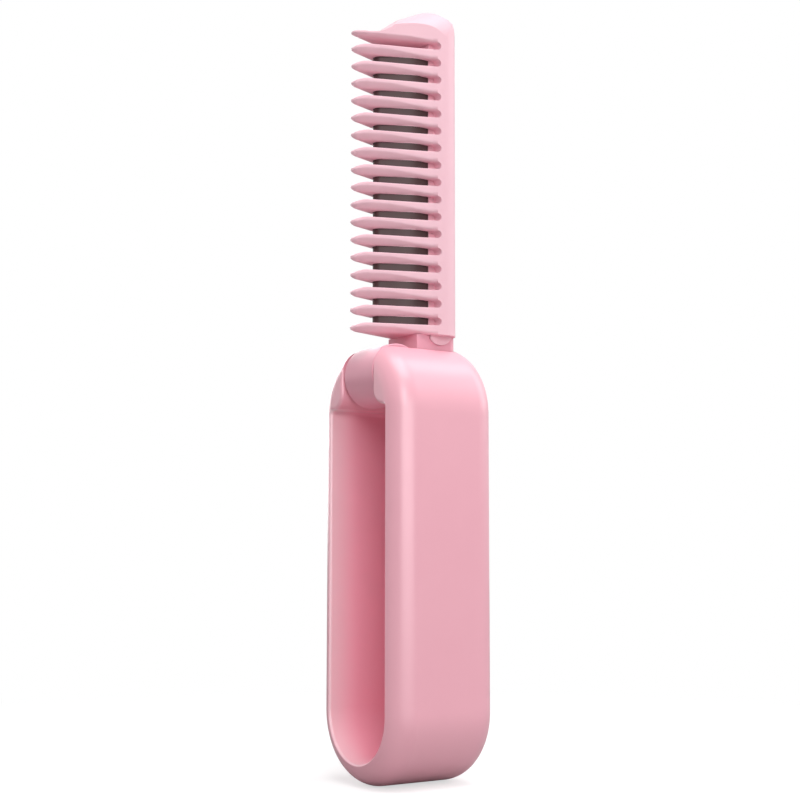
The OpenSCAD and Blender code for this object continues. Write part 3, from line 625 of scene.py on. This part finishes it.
RESIN = moulded("indicator resin", "F6EFC9", "EEDC8C", gloss=(0.2, 0.3), grain=3000.0)
STEEL = metal("plain steel", "C4C4C6", "A2A3A6", (600.0, 2600.0, 2600.0))
TURNED = metal("turned screw steel", "B9BABD", "94969A", (2600.0, 900.0, 2600.0))
NICKEL = metal("plated socket shell", "CFCDC8", "B0AEA8", (2400.0, 300.0, 2400.0), gloss=(0.15, 0.28))
FOIL = cell_foil()
FOAM = foam_cells()
BOARD = board_mask()
ACRYLIC = frosted_acrylic()
MICA = pressed_mica()

WEARS = {
    "handle_shell": HANDLE, "back_cover": SHELL, "button_cap": SHELL, "hinge_pin_plug": SHELL,
    "comb_fins": COMB, "comb_body": COMB, "spine_cover": COMB, "hinge_arm": HINGE,
    "heating_plate": COATED, "hinge_pin": STEEL, "cover_screws": TURNED, "board_screws": TURNED,
    "arm_screws": TURNED, "charging_socket": NICKEL, "thermal_fuse": NICKEL, "battery_cell": FOIL,
    "battery_pads": FOAM, "protection_board": BOARD, "control_board": BOARD, "charging_board": BOARD,
    "battery_leads": SLEEVE, "feed_leads": SLEEVE, "heater_leads": SLEEVE, "tact_switch": BLACK,
    "indicator_leds": RESIN, "light_pipes": ACRYLIC, "hinge_washers": NYLON, "ceramic_heater": CERAMIC,
    "plate_carrier": CARRIER, "insulating_sheet": MICA, "temperature_sensor": BLACK,
}
for name, finish in WEARS.items():
    mesh = bpy.data.objects[name].data
    mesh.materials.clear()
    mesh.materials.append(finish.material)


# Camera: a near view from the front right, level with the upper half of the handle

VIEW_TURN = math.radians(55.285)
VIEW_PITCH = math.radians(5.922)
VIEW_ROLL = math.radians(0.075)
EYE = Vector((0.42411, -0.29579, 0.07568))
FOCAL_PX = 1507.1
IMAGE_PX = 800
SENSOR_WIDTH = 36.0
CLIP_NEAR = 0.01
CLIP_FAR = 20.0


def add_camera():
    """A camera at the eye point that looks along the view turn and pitch."""
    level = Vector((-math.sin(VIEW_TURN), math.cos(VIEW_TURN), 0.0))
    ahead = level * math.cos(VIEW_PITCH) + Vector((0, 0, 1)) * math.sin(VIEW_PITCH)
    right = Vector((math.cos(VIEW_TURN), math.sin(VIEW_TURN), 0.0))
    up = right.cross(ahead)
    turn = Matrix((right, up, -ahead)).transposed().to_4x4() @ Matrix.Rotation(VIEW_ROLL, 4, "Z")
    data = bpy.data.cameras.new("view")
    data.sensor_width = SENSOR_WIDTH
    data.lens = FOCAL_PX * SENSOR_WIDTH / IMAGE_PX
    data.clip_start = CLIP_NEAR
    data.clip_end = CLIP_FAR
    camera = bpy.data.objects.new("view", data)
    camera.matrix_world = Matrix.Translation(EYE) @ turn
    bpy.context.scene.collection.objects.link(camera)
    bpy.context.scene.camera = camera


# Lamps: soft squares round the object, and a wide strip that only the gloss mirrors

LAMP_AIM = Vector((0, 0, 0.15))
LAMPS = {
    "overhead": dict(place=(0.30, -0.05, 1.05), size=0.70, power=7.8),
    "key": dict(place=(0.90, -0.50, 0.60), size=0.50, power=5.2),
    "strip": dict(place=(0.87, -0.23, 0.20), size=0.36, width=0.90, power=4.0, diffuse=False),
    "left front": dict(place=(-0.70, -0.70, 0.40), size=0.60, power=0.9),
    "left": dict(place=(-0.90, 0.20, 0.40), size=0.60, power=3.4),
    "rear": dict(place=(0.30, 0.80, 0.50), size=0.60, power=2.8),
    "top rear": dict(place=(0.12, 0.62, 0.95), size=0.35, power=1.2),
}


def add_lamp(name, place, size, power, width=None, diffuse=True):
    """An area lamp at place, turned to the object: a square, or a strip when width is given.

    A lamp that is not diffuse is only there to be mirrored in the gloss.
    """
    data = bpy.data.lights.new(name, "AREA")
    data.size = data.size_y = size
    if width is not None:
        data.shape = "RECTANGLE"
        data.size = width
    data.energy = power
    lamp = bpy.data.objects.new(name, data)
    aim = LAMP_AIM - Vector(place)
    lamp.matrix_world = Matrix.Translation(place) @ aim.to_track_quat("-Z", "Y").to_matrix().to_4x4()
    lamp.visible_diffuse = diffuse
    bpy.context.scene.collection.objects.link(lamp)


# Room: white to the camera and to reflections, with a soft grey fill on the object

FILL = 0.08


def add_room():
    """World that camera, mirror and glass rays see as plain white, and other rays as the fill."""
    world = bpy.data.worlds.new("room")
    bpy.context.scene.world = world
    world.use_nodes = True
    room = Nodes(world.node_tree)
    path = room.add("LightPath").outputs
    seen = room.maths("MAXIMUM", path["Is Camera Ray"], path["Is Glossy Ray"])
    seen = room.maths("MAXIMUM", seen, path["Is Transmission Ray"])
    fill = room.add("Background", Color=WHITE, Strength=FILL).outputs["Background"]
    white = room.add("Background", Color=WHITE, Strength=1.0).outputs["Background"]
    room.add("OutputWorld", Surface=room.mixed(seen, fill, white))


# Floor: a round disc just under the handle

FLOOR_R = 3.0
FLOOR_Z = -0.2 * MM
FLOOR_RINGS = 24
FLOOR_AROUND = 96
FLOOR_TONE = (0.5, 0.5, 0.5, 1.0)
FLOOR_GLOW = 0.62
WHITE_FROM = 0.05
WHITE_BY = 0.35


def floor_finish():
    """The camera sees a matt floor with a glow, which goes to plain white with the distance from
    the origin. All other rays meet the matt floor alone."""
    material = bpy.data.materials.new("pale floor")
    material.use_nodes = True
    floor = Nodes(material.node_tree)
    matt = floor.add("BsdfDiffuse", Color=FLOOR_TONE).outputs["BSDF"]
    glow = floor.add("Emission", Strength=FLOOR_GLOW).outputs["Emission"]
    white = floor.add("Emission", Strength=1.0).outputs["Emission"]
    near = floor.add("AddShader", matt, glow).outputs["Shader"]
    away = floor.add("VectorMath", floor.place(), operation="LENGTH").outputs["Value"]
    share = floor.add("MapRange", away, WHITE_FROM, WHITE_BY, interpolation_type="SMOOTHSTEP")
    seen = floor.mixed(share.outputs["Result"], near, white)
    camera_ray = floor.add("LightPath").outputs["Is Camera Ray"]
    floor.add("OutputMaterial", Surface=floor.mixed(camera_ray, matt, seen))
    return material


def add_floor():
    """A disc of rings whose radii grow with the square of their number, shut in the middle."""
    radius = FLOOR_R * np.linspace(0, 1, FLOOR_RINGS + 1)[1:] ** 2
    angle = np.linspace(0, 2 * math.pi, FLOOR_AROUND, endpoint=False)
    x, y = radius[:, None] * np.cos(angle), radius[:, None] * np.sin(angle)
    points = np.stack([x, y, np.full_like(x, FLOOR_Z)], axis=-1).reshape(-1, 3)
    index = np.arange(FLOOR_RINGS * FLOOR_AROUND).reshape(FLOOR_RINGS, FLOOR_AROUND)
    here, out = index[:-1], index[1:]
    quads = np.stack([here, out, np.roll(out, -1, 1), np.roll(here, -1, 1)], axis=-1)
    mesh = bpy.data.meshes.new("floor")
    mesh.from_pydata(points.tolist(), [], quads.reshape(-1, 4).tolist() + [index[0].tolist()])
    mesh.materials.append(floor_finish())
    floor = bpy.data.objects.new("floor", mesh)
    bpy.context.scene.collection.objects.link(floor)


add_camera()
add_room()
add_floor()
for name, lamp in LAMPS.items():
    add_lamp(name, **lamp)
bpy.context.scene.view_settings.view_transform = "Standard"
